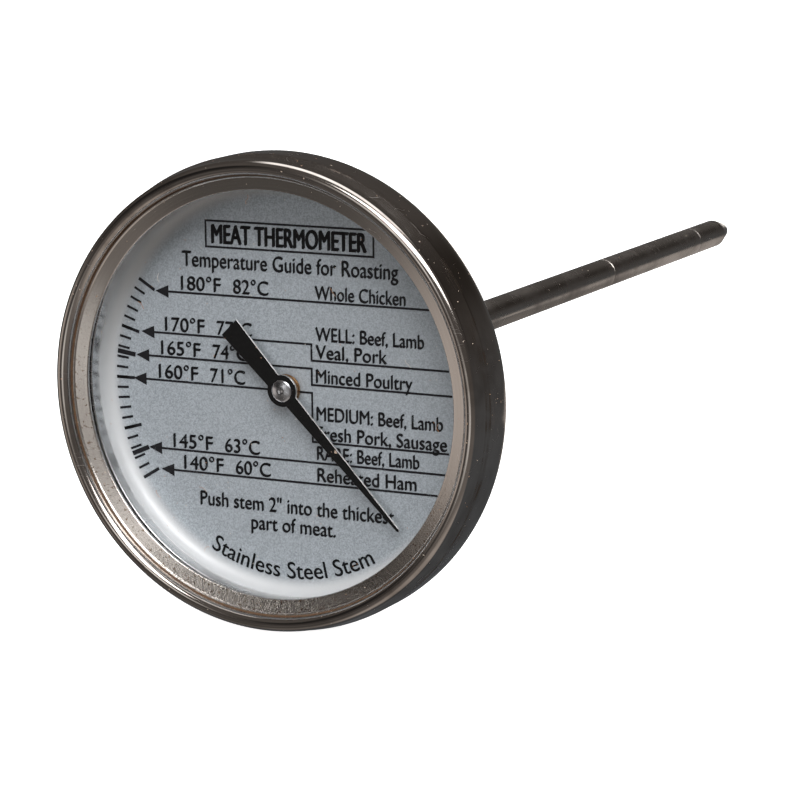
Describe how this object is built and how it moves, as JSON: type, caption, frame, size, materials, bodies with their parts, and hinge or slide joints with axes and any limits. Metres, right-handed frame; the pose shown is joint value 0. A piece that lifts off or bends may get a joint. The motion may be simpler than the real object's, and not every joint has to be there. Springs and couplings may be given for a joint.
{
  "type": "meat thermometer",
  "caption": "Dial meat thermometer: round steel case with a glass front and swinging pointer on a long pointed probe stem, with a calibration hex behind the case.",
  "frame": {"origin": "on the stem's axis, at the outer face of the calibration nut, where the exposed stem begins", "axes": "+Y along the stem from the case to the tip, so the dial faces -Y; +Z towards twelve o'clock on the dial; +X to the reader's right"},
  "size_m": [0.0498, 0.1331, 0.0498],
  "materials": {
    "case_steel": "polished drawn stainless steel with a warm tone",
    "bezel_steel": "polished stainless steel, slightly mottled",
    "stem_steel": "satin ground stainless tube",
    "nut_steel": "machined stainless steel",
    "spring_steel": "bright spring steel",
    "ring_steel": "bright pressed steel",
    "dial_face": "satin silver-grey dial enamel",
    "gasket_rubber": "black nitrile rubber",
    "window_glass": "clear flat glass",
    "bush_brass": "turned brass",
    "bimetal": "rolled two-metal ribbon",
    "pointer_black": "matt black paint",
    "cap_metal": "bright pressed cap"
  },
  "bodies": {
    "probe": {"stem_tube": "stem_steel", "tip_plug": "stem_steel", "calibration_nut": "nut_steel", "friction_washer": "spring_steel", "retaining_ring": "spring_steel", "upper_bearing": "bush_brass", "middle_guide": "bush_brass", "lower_guide": "bush_brass", "coil_anchor": "nut_steel", "bimetal_coil": "bimetal"},
    "head": {"case_cup": "case_steel", "bezel_ring": "bezel_steel", "lens_gasket": "gasket_rubber", "lens": "window_glass", "spacer_ring": "ring_steel", "dial_plate": "dial_face", "dial_backing_ring": "ring_steel"},
    "movement": {"spindle": "spring_steel", "coil_carrier": "bush_brass", "thrust_collar": "bush_brass", "pointer_bush": "bush_brass", "pointer": "pointer_black", "pointer_cap": "cap_metal"}
  },
  "joints": [
    {"name": "calibration_turn", "type": "hinge", "parent": "probe", "child": "head", "pos_m": [0, 0, 0], "axis": [0, 1, 0], "continuous": true},
    {"name": "pointer_swing", "type": "hinge", "parent": "probe", "child": "movement", "pos_m": [0, 0, 0], "axis": [0, 1, 0], "range_deg": [-68, 216], "stiffness_Nm_per_rad": 0.0004, "deforming": ["bimetal_coil"]}
  ]
}
